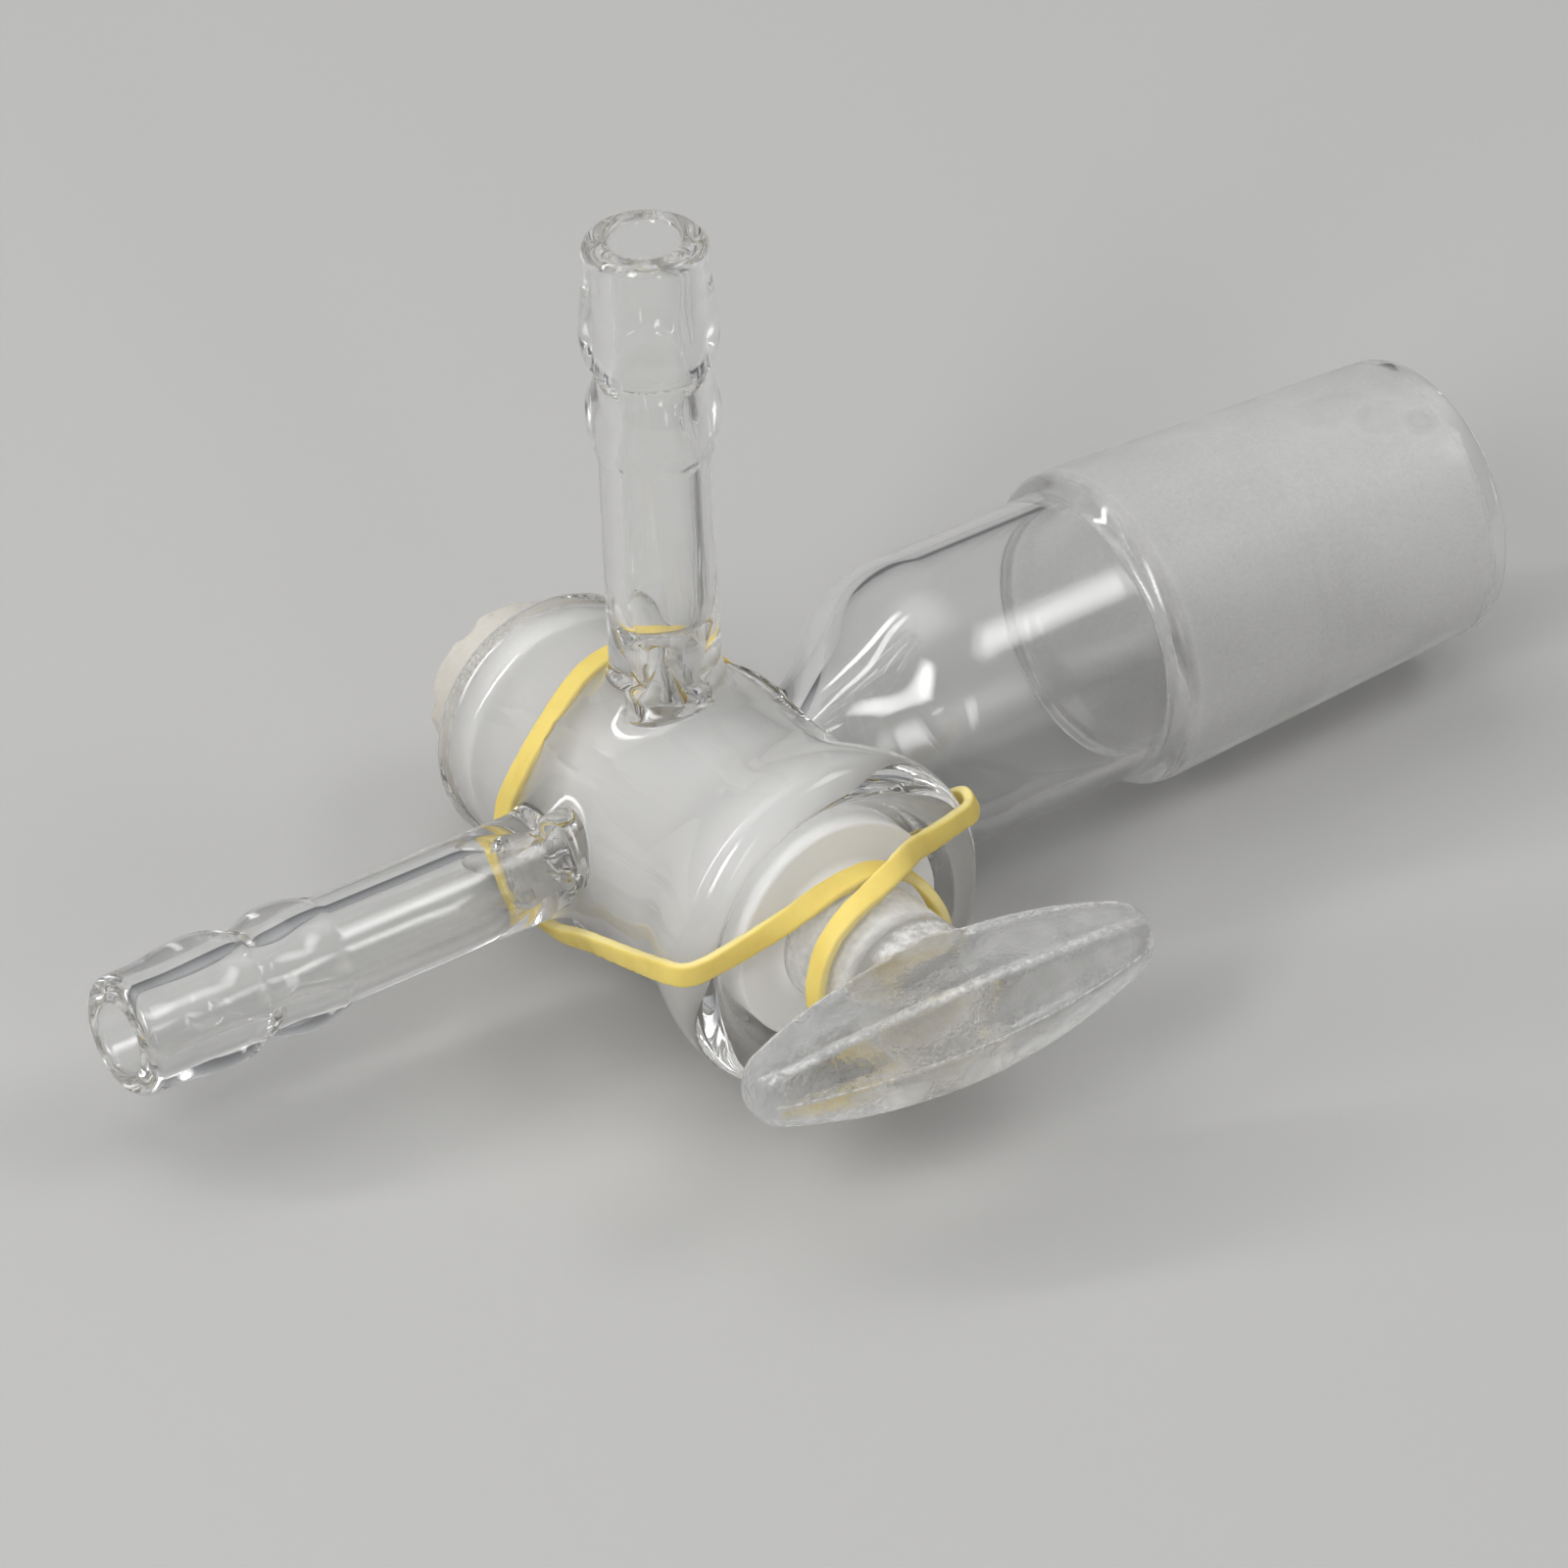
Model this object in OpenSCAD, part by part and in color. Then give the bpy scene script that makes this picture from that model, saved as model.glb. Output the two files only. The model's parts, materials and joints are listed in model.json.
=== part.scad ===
// Glass stopcock with a T-bored key, two hose connectors and a ground cone.
// Frame: the cone points to +X, the hose connectors point to -X and +Z, and the
// key turns about Y with its handle at -Y. The four axes meet at one point. The
// origin is the centre of the ground cone's large end, on the cone's axis.

/* [Key] */
// Diameter of the ground key where the arms meet it
key_mid_d = 14.8; // [14:0.1:16]
// Taper of the key, as diameter lost for each unit of length
key_taper = 0.1; // [0.08:0.01:0.12]
// Distance from the arms' plane to the key's flat front face
key_front = 20.2; // [19:0.1:22]
// Distance from the arms' plane to the key's small end
key_back = 21.2; // [19:0.1:24]
// Diameter of the gas bores through the key and the barrel wall
port_d = 4; // [2:0.1:5]
// Depth of the chips along the edge of the key's small end
chip_depth = 0.5; // [0.2:0.1:0.8]

/* [Handle] */
// Diameter of the clear neck between the key's face and the handle
stem_d = 10; // [8.8:0.1:11]
// Radius of the glass drawn out where the neck leaves the key's face
stem_fillet = 0.8; // [0.4:0.1:1.2]
// Distance from the arms' plane to the middle of the handle
handle_centre = 33.3; // [32.5:0.1:38]
// Length of the handle from tip to tip
handle_len = 34.3; // [30:0.5:44]
// Depth of the handle at its seam, along the key's axis
handle_depth = 9.8; // [8.6:0.1:11]
// Height of the handle between its two flats
handle_height = 8.5; // [7.6:0.1:9.4]
// Depth of the two flats, along the key's axis
flat_depth = 6.6; // [5.5:0.1:7.8]
// Roundness of the tips, as a share of the handle's half width
tip_share = 0.55; // [0.4:0.05:0.7]

/* [Barrel] */
// Gap all round between the key and the barrel's ground bore
key_clearance = 0.05; // [0.02:0.01:0.1]
// Outer diameter of the barrel where the arms join it
barrel_mid_d = 20; // [19:0.1:23]
// Taper of the barrel's outside, as diameter lost for each unit of length
barrel_taper = 0.15; // [0.1:0.01:0.16]
// Distance from the arms' plane to the end of the front rim
barrel_front = 20.3; // [19:0.1:22]
// Distance from the arms' plane to the end of the back rim
barrel_back = 16.6; // [15.5:0.1:19]
// Outer diameter of the flared front rim
front_rim_d = 25.5; // [24:0.1:28]
// Thickness of the rounded glass at the front rim
front_bead_d = 3.8; // [3:0.1:4.5]
// Outer diameter of the bead round the back rim
back_rim_d = 19.4; // [18.6:0.1:21]
// Thickness of the rounded glass at the back rim
back_bead_d = 3.6; // [2.8:0.1:4.4]
// Length over which the back bead runs out into the barrel
back_run = 2.8; // [2:0.1:5]
// Length of the flare that leads from the barrel to the front rim
flare_len = 8.5; // [6:0.5:10]

/* [Hose connectors] */
// Outer diameter of the hose connectors' tube
tube_d = 8; // [7:0.1:9]
// Bore of the hose connectors
tube_bore = 5; // [4:0.1:5.5]
// Bore of a hose connector where it is drawn in over the barrel
waist_bore = 3; // [2:0.1:4]
// Distance from the barrel's side to that narrow place
waist_at = 1.2; // [0.8:0.1:2]
// Length over which the bore widens from there to the tube
funnel_len = 6.4; // [4:0.1:8]
// Distance from the key's axis to the tip of a hose connector
hose_reach = 47; // [42:0.5:60]
// Outer diameter of the rounded tip
tip_d = 9; // [8.2:0.1:9.6]
// Diameter of the barb next to the tip
first_barb_d = 9.9; // [9.2:0.1:11]
// Diameter of the second barb
second_barb_d = 9.6; // [8.8:0.1:11]
// Diameter of the groove between the barbs
groove_d = 8.1; // [7.2:0.1:8.6]
// Distance from the tip to the crest of the first barb
first_crest = 7.4; // [6:0.1:8]
// Distance from the tip to the groove
groove_at = 10.2; // [9.4:0.1:11]
// Distance from the tip to the crest of the second barb
second_crest = 13.9; // [12.6:0.1:15]
// Distance from the tip to the end of the barbs
barbs_len = 17; // [16.2:0.1:19]
// Radius of the drawn-out glass where a connector joins the barrel
root_fillet = 6; // [4:0.5:8]

/* [Cone] */
// Diameter of the ground cone at its large end
joint_d = 24; // [23:0.1:25]
// Length of the ground zone
joint_len = 29; // [20:0.5:40]
// Taper of the ground zone, as diameter lost for each unit of length
joint_taper = 0.1; // [0.08:0.01:0.12]
// Distance from the key's axis to the large end of the ground zone
joint_start = 37.8; // [35:0.1:45]
// Inner diameter of the cone
joint_bore = 17.4; // [15:0.1:18.4]
// Distance that the rounded lip stands past the ground zone's nominal end
lip_len = 0.8; // [0.5:0.1:3]
// Outer diameter of the neck
neck_d = 21.5; // [20:0.1:22.4]
// Wall of the neck
neck_wall = 1.3; // [1:0.1:1.8]
// Distance from the key's axis to where the neck reaches its full width
neck_full = 22.6; // [21:0.1:26]
// Length of the swelling from the neck to the ground zone
swell_len = 1.7; // [1.2:0.1:4]
// Length of the ledge inside the swelling
ledge_len = 2.5; // [1.5:0.1:4]
// Diameter of the drawn-down shoulder inside the barrel's wall
shoulder_d = 7.2; // [6:0.1:9]

/* [Band] */
// Width of the rubber band
band_w = 1.7; // [1:0.1:1.8]
// Thickness of the rubber band
band_t = 0.8; // [0.6:0.05:0.9]
// Gap between the band and the stem that it is wound round
band_slack = 0.6; // [0.4:0.05:1]

/* [Hidden] */
$fn = 96;
over = 0.5;
curve_steps = 8;
shoulder_steps = 14;
tip_steps = 12;
side_steps = 24;

port_r = port_d / 2;
stem_r = stem_d / 2;
tube_r = tube_d / 2;
neck_r = neck_d / 2;
side_r = barrel_mid_d / 2;
rim_r = front_rim_d / 2;

// Radius of the key, and of the bore it turns in, at a distance s in front of
// the arms' plane.
function key_r(s) = key_mid_d / 2 + s * key_taper / 2;
function bore_r(s) = key_r(s) + key_clearance;
function barrel_r(s) = (barrel_mid_d + s * barrel_taper) / 2;

// Points from a to b that leave a steeply and settle level at b.
function settle(a, b) =
    [for (i = [0:curve_steps])
        let (t = i / curve_steps)
        [a[0] + (b[0] - a[0]) * sin(90 * t), a[1] + (b[1] - a[1]) * t]];

// Points from a to b that are level at both ends.
function ease(a, b) =
    [for (i = [0:curve_steps])
        let (t = i / curve_steps)
        [a[0] + (b[0] - a[0]) * (1 - cos(180 * t)) / 2, a[1] + (b[1] - a[1]) * t]];

// Points along the cubic curve with the four control points of c.
function bend(c) =
    [for (i = [0:shoulder_steps])
        let (t = i / shoulder_steps, u = 1 - t)
        u * u * u * c[0] + 3 * u * u * t * c[1] + 3 * u * t * t * c[2] + t * t * t * c[3]];

// Moves the point where the four axes meet from the origin to its place.
module in_place() { translate([-joint_start, 0, 0]) children(); }

// Turns what stands on +Z to the front of the key's axis, or to an arm's axis.
module to_front() { rotate([90, 0, 0]) children(); }
module to_cone() { rotate([0, 90, 0]) children(); }
module to_side_hose() { rotate([0, -90, 0]) children(); }

// ---------------------------------------------------------------- glass body

// Half section of the barrel's outside, as [radius, distance to the front].
module barrel_outline() {
    front_bead = front_bead_d / 2;
    back_bead = back_bead_d / 2;
    flare_start = barrel_front - front_bead - flare_len;
    waist = -barrel_back + back_bead + back_run;
    union() {
        polygon(concat(
            [[0, -barrel_back], [back_rim_d / 2 - back_bead, -barrel_back]],
            [[back_rim_d / 2, -barrel_back + back_bead]],
            ease([back_rim_d / 2, -barrel_back + back_bead], [barrel_r(waist), waist]),
            ease([barrel_r(flare_start), flare_start],
                 [rim_r, barrel_front - front_bead]),
            [[rim_r - front_bead, barrel_front], [0, barrel_front]]));
        translate([rim_r - front_bead, barrel_front - front_bead])
            circle(front_bead);
        translate([back_rim_d / 2 - back_bead, back_bead - barrel_back])
            circle(back_bead);
    }
}

// The ground bore, opening out towards the rounded front rim.
module barrel_bore() {
    mouth_r = rim_r - front_bead_d;
    rotate_extrude()
        polygon([
            [0, -barrel_back - over],
            [bore_r(-barrel_back - over), -barrel_back - over],
            [bore_r(barrel_front - front_bead_d), barrel_front - front_bead_d],
            [mouth_r, barrel_front - front_bead_d / 2],
            [rim_r - front_bead_d / 2, barrel_front + over],
            [0, barrel_front + over]]);
}

// Distance from the key's axis at which a connector's drawn root is a plain tube.
root_end = side_r + root_fillet / 2;

// Radius of a connector's drawn root at a distance x from the key's axis.
function root_r(x) =
    tube_r + root_fillet - sqrt(root_fillet * root_fillet - (root_end - x) * (root_end - x));

// Half section of a hose connector, from the key's axis to the tip.
module hose_outline() {
    tip_wall = (tip_d - tube_bore) / 2;
    union() {
        polygon(concat(
            [[0, 0], [tube_r, 0]],
            settle([tube_r, hose_reach - barbs_len],
                   [second_barb_d / 2, hose_reach - second_crest]),
            ease([second_barb_d / 2, hose_reach - second_crest],
                 [groove_d / 2, hose_reach - groove_at]),
            settle([groove_d / 2, hose_reach - groove_at],
                   [first_barb_d / 2, hose_reach - first_crest]),
            ease([first_barb_d / 2, hose_reach - first_crest],
                 [tip_d / 2, hose_reach - tip_wall]),
            [[tip_d / 2, hose_reach - tip_wall / 2], [tip_d / 2 - tip_wall / 2, hose_reach],
             [0, hose_reach]]));
        translate([(tip_d - tip_wall) / 2, hose_reach - tip_wall / 2])
            circle(tip_wall / 2);
        difference() {
            square([tube_r + root_fillet / 2, root_end]);
            translate([tube_r + root_fillet, root_end])
                circle(root_fillet);
        }
    }
}

module hose() {
    rotate_extrude() hose_outline();
}

// Gas way of a hose connector: a port through the barrel, drawn in over it,
// then a funnel up to the tube's bore.
module hose_way() {
    waist = side_r + waist_at;
    rotate_extrude()
        polygon(concat(
            [[0, 0], [port_r, 0]],
            ease([port_r, side_r - over], [waist_bore / 2, waist]),
            ease([waist_bore / 2, waist], [tube_bore / 2, waist + funnel_len]),
            [[tube_bore / 2, hose_reach + over], [0, hose_reach + over]]));
}

// Radius of the cone's ground zone at a distance x from the key's axis.
function joint_r(x) = (joint_d - (x - joint_start) * joint_taper) / 2;

joint_end = joint_start + joint_len;
cone_reach = joint_end + lip_len;
lip_wall = joint_r(joint_end) - joint_bore / 2;
lip_start = cone_reach - lip_wall;
lip_centre_r = joint_r(lip_start) - lip_wall;

// Curves of the drawn-down shoulder between the barrel and the neck, outside
// and inside, as [radius, distance from the key's axis].
inner_neck_r = neck_r - neck_wall;
shoulder = [[shoulder_d / 2, side_r - 1.6], [neck_r - 4.7, neck_full - 5.6],
            [neck_r, neck_full - 6.2], [neck_r, neck_full]];
inner_shoulder = [[port_r, side_r + 1.4], [inner_neck_r - 4.8, neck_full - 5.2],
                  [inner_neck_r, neck_full - 5.4], [inner_neck_r, neck_full + 1]];

// Half section of the neck and cone, as [radius, distance from the key's axis].
module cone_outline() {
    union() {
        polygon(concat(
            [[0, shoulder[0][1]]],
            bend(shoulder),
            settle([neck_r, joint_start - swell_len], [joint_r(joint_start), joint_start]),
            [[joint_r(lip_start), lip_start], [lip_centre_r, cone_reach], [0, cone_reach]]));
        translate([lip_centre_r, lip_start])
            circle(lip_wall);
    }
}

module cone_solid() {
    rotate_extrude() cone_outline();
}

// Hollow of the neck and cone, with a ledge under the ground zone.
module cone_way() {
    ledge = joint_start - swell_len;
    cylinder(r = port_r, h = inner_shoulder[0][1] + over);
    rotate_extrude()
        polygon(concat(
            [[0, inner_shoulder[0][1]]],
            bend(inner_shoulder),
            ease([inner_neck_r, ledge], [joint_bore / 2, ledge + ledge_len]),
            [[joint_bore / 2, cone_reach + over], [0, cone_reach + over]]));
}

module glass_body() {
    color([0.84, 0.87, 0.86, 0.5])
        in_place() difference() {
            union() {
                to_front() rotate_extrude() barrel_outline();
                hose();
                to_side_hose() hose();
                to_cone() cone_solid();
            }
            to_front() barrel_bore();
            hose_way();
            to_side_hose() hose_way();
            to_cone() cone_way();
        }
}

// ---------------------------------------------------------------------- plug

// Distance from the arms' plane to the back of the handle.
handle_back = handle_centre - handle_depth / 2;

// Points on a circle, from one angle to another, leaving out the last.
function arc(centre, r, from, to, steps) =
    [for (i = [0:steps - 1])
        let (t = from + (to - from) * i / steps)
        centre + r * [cos(t), sin(t)]];

// Outline of the handle seen square on: two long arcs that run smoothly into
// round tips.
module spindle_outline(half_width) {
    tip_r = tip_share * half_width;
    tip_at = handle_len / 2 - tip_r;
    arc_r = (tip_at * tip_at + half_width * half_width - tip_r * tip_r)
        / (2 * (half_width - tip_r));
    arc_centre = arc_r - half_width;
    turn = atan2(arc_centre, tip_at);
    polygon(concat(
        arc([tip_at, 0], tip_r, -turn, turn, tip_steps),
        arc([0, -arc_centre], arc_r, turn, 180 - turn, side_steps),
        arc([-tip_at, 0], tip_r, 180 - turn, 180 + turn, tip_steps),
        arc([0, arc_centre], arc_r, 180 + turn, 360 - turn, side_steps)));
}

// A slab with that outline, its thin way turned by an angle about X.
module spindle_slab(half_width, turn) {
    rotate([turn, 0, 0])
        linear_extrude(handle_depth * 2, center = true)
            spindle_outline(half_width);
}

// Six-sided handle: two flats, and four faces that meet at the seam.
module handle() {
    rise = handle_height / 2;
    run = (handle_depth - flat_depth) / 2;
    face_turn = atan2(run, rise);
    face_half = handle_depth / 2 * cos(face_turn);
    translate([0, -handle_centre, 0])
        intersection() {
            spindle_slab(handle_height / 2, 90);
            spindle_slab(face_half, face_turn);
            spindle_slab(face_half, -face_turn);
        }
}

// Round stem, drawn out a little where it leaves the key's face. Its round end
// is inside the handle.
module stem() {
    seat = over;
    rotate_extrude()
        difference() {
            translate([0, key_front - seat])
                square([stem_r + stem_fillet, handle_back + seat - (key_front - seat)]);
            translate([stem_r, key_front + stem_fillet])
                square([stem_fillet + over, handle_back]);
            translate([stem_r + stem_fillet, key_front + stem_fillet])
                circle(stem_fillet);
        }
    translate([0, 0, handle_back + seat]) sphere(stem_r);
}

// Where the small end's edge is chipped: [angle, share of the full depth].
chips = [[20, 0.6], [65, 1], [98, 0.5], [150, 0.9], [188, 0.7], [241, 1], [275, 0.5], [322, 0.8]];
chip_r = 2.4;
chip_lean = 41;

// The tapered key, its small end's edge chipped by round bites.
module key() {
    small_r = key_r(-key_back);
    difference() {
        translate([0, 0, -key_back])
            cylinder(r1 = small_r, r2 = key_r(key_front), h = key_back + key_front);
        for (chip = chips) {
            away = chip_r - chip_depth * chip[1];
            rotate(chip[0])
                translate([small_r + away * cos(chip_lean), 0, -key_back - away * sin(chip_lean)])
                    sphere(chip_r);
        }
    }
}

module plug() {
    color([0.86, 0.86, 0.84, 0.7])
        in_place() difference() {
            union() {
                to_front() key();
                to_front() stem();
                handle();
            }
            rotate([0, 90, 0]) cylinder(r = port_r, h = key_mid_d * 2, center = true);
            cylinder(r = port_r, h = key_mid_d);
        }
}

// --------------------------------------------------------------- rubber band

// Radius of the turn round the stem, and the middle of the stem.
turn_r = stem_r + band_slack + band_t / 2;
turn_at = (key_front + handle_back) / 2;
// Where the band passes behind an arm's drawn root, close to the barrel.
behind = -root_r(side_r + 0.3) - band_w / 2 - 0.2;

// Route of the band's centre line, a closed loop, as [distance from the key's
// axis, angle from the cone's side, distance in front of the arms' plane, turn of
// the flat side from facing the key's axis to facing forward].
band_route = [
    // From the front rim on the cone's side to the stem
    [rim_r - 1.4, 28.5, barrel_front + 0.6, 75], [rim_r - 4, 40.5, barrel_front + 1.7, 60],
    [turn_r + 1.8, 54, turn_at - 1.2, 50], [turn_r + 1.2, 72, turn_at + 0.4, 40],
    // Once round the stem, from the handle's end to the key's
    [turn_r + 0.2, 94, turn_at + 1.1, 20], [turn_r, 122, turn_at + 1.4, 5],
    [turn_r, 152, turn_at + 1.5, 0], [turn_r, 190, turn_at + 1.5, 0],
    [turn_r, 230, turn_at + 1.4, 0], [turn_r, 272, turn_at + 1.1, 0],
    [turn_r, 316, turn_at + 0.6, 0], [turn_r, 360, turn_at, 0],
    [turn_r, 400, turn_at - 0.8, 0], [turn_r, 432, turn_at - 1.4, 5],
    [turn_r, 466, turn_at - 1.5, 20],
    // Over the front rim on the side connector's side
    [turn_r + 1.5, 506, barrel_front + 2, 50], [rim_r - 1.5, 529, barrel_front + 0.6, 75],
    [rim_r + 0.15, 533, barrel_front - 0.2, 45], [rim_r + 0.7, 535, barrel_front - 2, 0],
    // Along the barrel, under the side connector and up behind it
    [side_r + 2.7, 544, 13, 0], [side_r + 2.1, 557, 6, 0], [side_r + 2.3, 566, 1, 0],
    [side_r + 2.1, 564, -3, 0], [side_r + 0.9, 552, behind + 0.3, 0],
    [side_r + 0.5, 535, behind, 0], [side_r + 0.5, 516, behind + 0.9, 0],
    // Over the barrel behind the upright connector
    [side_r + 0.3, 492, behind + 1, 0], [side_r + 0.15, 469, behind + 0.1, 0],
    [side_r + 0.05, 450, behind - 0.3, 0], [side_r + 0.15, 431, behind + 0.1, 0],
    [side_r + 0.3, 408, behind + 1, 0],
    // Down behind the cone's root and forward to the rim
    [side_r + 0.5, 384, behind + 0.9, 0], [side_r + 0.5, 365, behind + 0.1, 0],
    [side_r + 0.9, 348, behind, 0], [side_r + 2.2, 336, -3.1, 0], [side_r + 2.8, 332, 1, 0],
    [side_r + 2.1, 345, 6, 0], [side_r + 2.5, 365, 13, 0],
    [rim_r + 0.7, 382, barrel_front - 2, 0], [rim_r + 0.1, 384, barrel_front - 0.2, 45]];
route_steps = 2;

// A point of the route as [x, y, z, turn of the flat side].
function route_point(i) =
    let (p = band_route[(i + len(band_route)) % len(band_route)])
    [p[0] * cos(p[1]), -p[2], p[0] * sin(p[1]), p[3]];

// The smooth loop at a share t of the way past point i, in the same form.
function route_at(i, t) =
    let (a = route_point(i - 1), b = route_point(i), c = route_point(i + 1), d = route_point(i + 2))
    b + t * (c - a) / 2 + t * t * (a - 2.5 * b + 2 * c - d / 2)
        + t * t * t * (1.5 * (b - c) + (d - a) / 2);

loop_points = [for (i = [0:len(band_route) - 1], k = [0:route_steps - 1])
    route_at(i, k / route_steps)];

function unit(v) = v / norm(v);

function place(q) = [q[0], q[1], q[2]];

// Eight corners of the band's flat section round one point of the loop. Its
// flat side faces the key's axis, or is turned from there to face forward.
function band_ring(i) =
    let (count = len(loop_points),
         p = place(loop_points[i]),
         turn = loop_points[i][3],
         along = unit(place(loop_points[(i + 1) % count])
                      - place(loop_points[(i + count - 1) % count])),
         facing = cos(turn) * unit([p[0], 0, p[2]]) + sin(turn) * [0, -1, 0],
         out = unit(facing - (facing * along) * along),
         across = cross(along, out),
         w = band_w / 2, t = band_t / 2, c = band_t / 4)
    [for (q = [[w - c, t], [w, t - c], [w, c - t], [w - c, -t],
               [c - w, -t], [-w, c - t], [-w, t - c], [c - w, t]])
        p + q[0] * across + q[1] * out];

module rubber_band() {
    count = len(loop_points);
    color([0.88, 0.76, 0.33])
        in_place() polyhedron(
            points = [for (i = [0:count - 1]) each band_ring(i)],
            faces = [for (i = [0:count - 1], k = [0:7])
                let (j = (i + 1) % count, m = (k + 1) % 8)
                [8 * i + k, 8 * i + m, 8 * j + m, 8 * j + k]]);
}

glass_body();
plug();
rubber_band();
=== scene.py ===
import json
import math

import bpy
import numpy as np
from mathutils import Matrix, Vector


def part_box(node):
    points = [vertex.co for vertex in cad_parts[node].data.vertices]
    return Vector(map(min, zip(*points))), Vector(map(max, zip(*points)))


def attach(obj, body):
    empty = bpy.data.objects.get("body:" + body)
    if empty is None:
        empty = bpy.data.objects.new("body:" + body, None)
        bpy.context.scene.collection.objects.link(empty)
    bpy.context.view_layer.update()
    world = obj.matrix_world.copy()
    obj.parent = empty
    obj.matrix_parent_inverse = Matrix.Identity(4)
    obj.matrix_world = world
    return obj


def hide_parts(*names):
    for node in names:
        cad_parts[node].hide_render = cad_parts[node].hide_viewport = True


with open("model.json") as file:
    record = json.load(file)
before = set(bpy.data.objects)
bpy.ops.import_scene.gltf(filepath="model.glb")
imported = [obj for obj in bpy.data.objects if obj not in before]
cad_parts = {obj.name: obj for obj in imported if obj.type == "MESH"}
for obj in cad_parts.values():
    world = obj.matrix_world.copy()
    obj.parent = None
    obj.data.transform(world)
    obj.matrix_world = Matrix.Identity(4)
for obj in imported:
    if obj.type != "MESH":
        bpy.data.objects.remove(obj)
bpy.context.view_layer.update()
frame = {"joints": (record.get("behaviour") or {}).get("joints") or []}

bl_info = {
    "name": "Glass stopcock",
    "version": (1, 0, 0),
    "blender": (4, 5, 0),
    "location": "View3D > Sidebar > Stopcock",
    "description": "Builds a lampworked three-way glass stopcock round its packed frame",
    "category": "Object",
}

TURN = next(joint for joint in frame["joints"] if joint["name"] == "plug_turn")
CROSSING = np.array(TURN["pos_m"], float)

MM = 0.001
# Grid steps along x, y and z, in millimetres from the crossing: a step holds up to its end.
# They are short where a shape turns and long along straight tubes.
BODY_STEPS = [[(-31, 0.55), (-16, 1.5), (13, 0.375), (24, 0.5), (35, 1.3), (38.7, 0.32),
               (42, 0.7), (64, 1.4), (99, 0.45)],
              [(99, 0.375)],
              [(16, 0.375), (31, 1.5), (99, 0.55)]]
PLUG_STEPS = [[(-9, 0.3), (9, 0.21), (99, 0.3)],
              [(-20, 0.21), (-3, 0.45), (3, 0.25), (18.5, 0.45), (99, 0.22)],
              [(99, 0.21)]]
# Points along a profile's runs and along its bends
RUN_STEPS, BEND_STEPS = 120, 160
GLASS_IOR, ELASTIC_IOR = 1.473, 1.52

# Waves in drawn glass, in the stem and in the pressed handle: depth, scale and seed
DRAWN_WAVE = (0.014 * MM, 3.2 * MM, 0.6)
STEM_WAVE = (0.03 * MM, 1.7 * MM, 1.9)
HANDLE_WAVE = (0.03 * MM, 1.3 * MM, 0.4)
# Depth of the ragged grain on the key's small end, and its waves
RAGGED, RAGGED_WAVE = 0.09 * MM, (1, 0.34 * MM, 2.3)
# Radii of the glass that fills a corner where two tubes are fused, or the handle and the stem
SEAL_R, HANDLE_SEAL_R = 1.0 * MM, 0.5 * MM
# Radii of edges: of the body's hollows, of the barrel's bore, of the key and of its gas way
HOLLOW_EDGE, BORE_EDGE, KEY_EDGE, WAY_EDGE = 0.5 * MM, 0.55 * MM, 0.25 * MM, 0.25 * MM
# Bites out of the small end's edge: angle in degrees and share of the full depth, their radius
# and how far back they lean
CHIPS = [(20, 0.6), (65, 1.0), (98, 0.5), (150, 0.9), (188, 0.7), (241, 1.0), (275, 0.5),
         (322, 0.8)]
CHIP_R = 2.4 * MM
CHIP_LEAN = math.radians(41)

# The looks of ground glass: how far its colour falls, its grain, and the shares of the light
# that go through bent and in all directions
CONE_MATT = {"uneven": 0.16, "grain": 1.0, "clearness": 0.72, "scatter": 0.2}
KEY_MATT = {"uneven": 0.012, "grain": 0.15, "clearness": 0.06, "scatter": 0.3}
KEY_END_MATT = {"uneven": 0.07, "grain": 0.6, "clearness": 0.06, "scatter": 0.25}
# How far the matt zone stops short of the cone's ground length, in millimetres
GROUND_SHORT = 1.5
# Spots where the matt is rubbed clear: middle from the crossing and radii in millimetres, depth
RUBBED = [((63.5, -4.6, 9.7), (1.7, 1.3, 1.3), 0.7), ((61.0, -3.2, 10.3), (2.6, 1.8, 1.8), 0.3),
          ((58.4, -0.8, 10.8), (3.6, 2.4, 2.0), 0.15)]
# The band's scalloped stretch, from one route point to another, and its scallops' pitch and depth
SCALLOPS = (18.2, 22.0)
SCALLOP_PITCH = 0.95 * MM
SCALLOP_DEPTH = 0.16 * MM

# Each lamp's place from the crossing, the direction of its second side, its two sizes, its power
LAMPS = [
    ("key", (0.50, -0.42, 0.80), (0.46, 0.70, 0.0), (0.34, 0.66), 4.2),
    ("top", (-0.15, 0.25, 1.00), (0.0, 1.0, 0.0), (1.20, 1.00), 7.0),
    ("left", (-0.80, -0.45, 0.65), (0.0, 0.0, 1.0), (0.30, 0.80), 12.0),
    ("strip", (-0.62, 0.42, 0.60), (0.80, 0.08, 0.85), (0.10, 1.10), 7.0),
    ("front", (-0.20, -0.95, 0.25), (0.0, 0.0, 1.0), (0.15, 0.50), 1.4),
]
# Colours of the surroundings at the horizon and overhead
HORIZON = (0.06, 0.06, 0.065, 1)
OVERHEAD = (0.55, 0.56, 0.57, 1)
FLOOR_HALF = 3.0
# The camera: focal length and sensor in millimetres, turn, rise and roll, place from the crossing
FOCAL, SENSOR = 324.13, 36.0
CAMERA_ANGLES = [math.radians(angle) for angle in (-34.105, 33.116, -2.512)]
CAMERA_PLACE = (-0.46265, -0.69742, 0.54738)


# ---- settings

def length(name, description, default_mm):
    """A length, given in millimetres and held in metres."""
    return bpy.props.FloatProperty(
        name=name, description=description, default=default_mm * MM,
        min=0.0, unit="LENGTH", precision=5)


def colour(name, description, default):
    return bpy.props.FloatVectorProperty(
        name=name, description=description, default=default,
        size=3, min=0.0, max=1.0, subtype="COLOR")


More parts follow.
